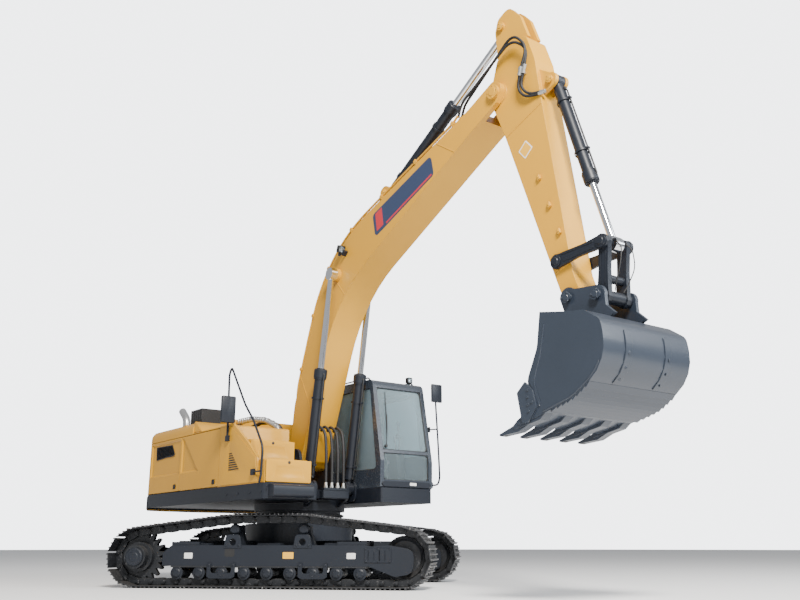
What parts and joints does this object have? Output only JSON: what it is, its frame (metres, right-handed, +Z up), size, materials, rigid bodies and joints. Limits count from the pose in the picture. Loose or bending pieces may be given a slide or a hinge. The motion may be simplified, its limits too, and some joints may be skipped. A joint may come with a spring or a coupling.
{
  "type": "crawler excavator",
  "caption": "Tracked excavator with a slewing house, cab, bent boom, arm and a toothed digging bucket, working by hydraulic cylinders.",
  "frame": {"origin": "on the ground, at the centre of the whole machine's bounding box in plan", "axes": "+X is the way the upper structure and the boom face, +Y is the operator's left, +Z is up; the undercarriage stands turned 42.7 degrees to the left under it"},
  "size_m": [9.5804, 5.39, 7.0348],
  "materials": {
    "body_paint": "glossy ochre-yellow enamel",
    "frame_paint": "satin blue-black enamel",
    "track_steel": "black painted track steel, worn bright on its bars",
    "rod_chrome": "polished hard chrome",
    "exhaust_steel": "bare steel, heat stained",
    "glazing": "clear, faintly green",
    "seat_fabric": "black woven seat cloth",
    "trim_plastic": "black moulded trim"
  },
  "bodies": {
    "undercarriage": {"track_left": "track_steel", "track_right": "track_steel", "sprocket_left": "track_steel", "sprocket_right": "track_steel", "idler_left": "track_steel", "idler_right": "track_steel", "rollers_left": "track_steel", "rollers_right": "track_steel", "track_frame_left": "frame_paint", "track_frame_right": "frame_paint", "carbody": "frame_paint"},
    "upper_structure": {"house_frame": "frame_paint", "counterweight": "body_paint", "engine_block": "frame_paint", "body_covers": "body_paint", "tanks": "body_paint", "toolbox": "body_paint", "handrail_right": "frame_paint", "cab": "frame_paint", "windscreen": "glazing", "lower_windscreen": "glazing", "right_window": "glazing", "rear_window": "glazing", "operator_seat": "seat_fabric", "console_left": "trim_plastic", "console_right": "trim_plastic", "cab_rail": "frame_paint", "exhaust": "exhaust_steel", "air_intake": "trim_plastic"},
    "right_rear_door": {"right_rear_door": "body_paint"},
    "right_front_door": {"right_front_door": "body_paint"},
    "left_door": {"left_door": "body_paint"},
    "engine_hood": {"engine_hood": "body_paint"},
    "toolbox_flap_lower": {"toolbox_flap_lower": "body_paint"},
    "toolbox_flap_upper": {"toolbox_flap_upper": "body_paint"},
    "cab_door": {"cab_door": "frame_paint", "door_window": "glazing"},
    "boom": {"boom": "body_paint"},
    "boom_barrels": {"boom_cylinder_barrel_left": "frame_paint", "boom_cylinder_barrel_right": "frame_paint"},
    "boom_rods": {"boom_cylinder_rod_left": "rod_chrome", "boom_cylinder_rod_right": "rod_chrome"},
    "arm_barrel": {"arm_cylinder_barrel": "frame_paint"},
    "arm_rod": {"arm_cylinder_rod": "rod_chrome"},
    "arm": {"arm": "body_paint"},
    "bucket_barrel": {"bucket_cylinder_barrel": "frame_paint"},
    "bucket_rod": {"bucket_cylinder_rod": "rod_chrome"},
    "rockers": {"rocker_left": "frame_paint", "rocker_right": "frame_paint"},
    "power_link": {"power_link": "frame_paint"},
    "bucket": {"bucket": "frame_paint"}
  },
  "joints": [
    {"name": "slew", "type": "hinge", "parent": "undercarriage", "child": "upper_structure", "pos_m": [-1.80518, -0.00036, 1.04], "axis": [0, 0, 1], "continuous": true},
    {"name": "boom_lift", "type": "hinge", "parent": "upper_structure", "child": "boom", "pos_m": [-1.58518, -0.00036, 1.78], "axis": [0, -1, 0], "range_deg": [-80, 19]},
    {"name": "boom_cylinder_swing", "type": "hinge", "parent": "upper_structure", "child": "boom_barrels", "pos_m": [-1.00518, -0.00036, 1.36], "axis": [0, -1, 0], "range_deg": [-81.2, 19.4]},
    {"name": "boom_cylinder_stroke", "type": "slide", "parent": "boom_barrels", "child": "boom_rods", "axis": [0.1671, 0, 0.9859], "range_m": [-0.94, 0.225]},
    {"name": "arm_swing", "type": "hinge", "parent": "boom", "child": "arm", "pos_m": [2.99259, -0.00036, 5.90184], "axis": [0, 1, 0], "range_deg": [-71, 32]},
    {"name": "arm_cylinder_swing", "type": "hinge", "parent": "boom", "child": "arm_barrel", "pos_m": [0.52362, -0.00036, 5.43079], "axis": [0, 1, 0], "range_deg": [-5.4, 2.5]},
    {"name": "arm_cylinder_stroke", "type": "slide", "parent": "arm_barrel", "child": "arm_rod", "axis": [0.8716, 0, 0.4902], "range_m": [-1.04, 0.47]},
    {"name": "bucket_curl", "type": "hinge", "parent": "arm", "child": "bucket", "pos_m": [4.02394, -0.00036, 3.05277], "axis": [0, 1, 0], "range_deg": [-58, 105]},
    {"name": "bucket_cylinder_swing", "type": "hinge", "parent": "arm", "child": "bucket_barrel", "pos_m": [3.79301, -0.00036, 5.76194], "axis": [0, 1, 0], "range_deg": [-3.1, 5.5]},
    {"name": "bucket_cylinder_stroke", "type": "slide", "parent": "bucket_barrel", "child": "bucket_rod", "axis": [0.2931, 0, -0.9561], "range_m": [-0.285, 0.515]},
    {"name": "rocker_swing", "type": "hinge", "parent": "arm", "child": "rockers", "pos_m": [3.83409, -0.00036, 3.51261], "axis": [0, 1, 0], "range_deg": [-29.5, 53]},
    {"name": "power_link_swing", "type": "hinge", "parent": "rockers", "child": "power_link", "pos_m": [4.46426, -0.00036, 3.57269], "axis": [0, 1, 0], "range_deg": [-37.5, 21]},
    {"name": "cab_door_hinge", "type": "hinge", "parent": "upper_structure", "child": "cab_door", "pos_m": [-1.65618, 1.41614, 1.355], "axis": [0, 0, 1], "range_deg": [0, 110]},
    {"name": "right_rear_door_hinge", "type": "hinge", "parent": "upper_structure", "child": "right_rear_door", "pos_m": [-4.36518, -1.40186, 1.367], "axis": [0, 0, -1], "range_deg": [0, 80]},
    {"name": "right_front_door_hinge", "type": "hinge", "parent": "upper_structure", "child": "right_front_door", "pos_m": [-1.75518, -1.40186, 1.367], "axis": [0, 0, 1], "range_deg": [0, 80]},
    {"name": "left_door_hinge", "type": "hinge", "parent": "upper_structure", "child": "left_door", "pos_m": [-4.36518, 1.40114, 1.367], "axis": [0, 0, 1], "range_deg": [0, 80]},
    {"name": "engine_hood_hinge", "type": "hinge", "parent": "upper_structure", "child": "engine_hood", "pos_m": [-4.25518, -0.00036, 2.4103], "axis": [0, -1, 0], "range_deg": [0, 70]},
    {"name": "toolbox_flap_lower_hinge", "type": "hinge", "parent": "upper_structure", "child": "toolbox_flap_lower", "pos_m": [-0.42518, -1.00771, 1.661], "axis": [0, -1, 0], "range_deg": [0, 100]},
    {"name": "toolbox_flap_upper_hinge", "type": "hinge", "parent": "upper_structure", "child": "toolbox_flap_upper", "pos_m": [-0.89518, -1.00771, 1.961], "axis": [0, -1, 0], "range_deg": [0, 100]}
  ],
  "couplings": [
    {"joint": "boom_cylinder_swing", "follows": "boom_lift", "ratio": 1.0124},
    {"joint": "boom_cylinder_stroke", "follows": "boom_lift", "m_per_rad": 0.6712},
    {"joint": "arm_cylinder_swing", "follows": "arm_swing", "ratio": 0.0736},
    {"joint": "arm_cylinder_stroke", "follows": "arm_swing", "m_per_rad": 0.83},
    {"joint": "bucket_cylinder_swing", "follows": "bucket_curl", "ratio": 0.0512},
    {"joint": "bucket_cylinder_stroke", "follows": "bucket_curl", "m_per_rad": 0.2774},
    {"joint": "rocker_swing", "follows": "bucket_curl", "ratio": 0.5},
    {"joint": "power_link_swing", "follows": "bucket_curl", "ratio": -0.35}
  ]
}
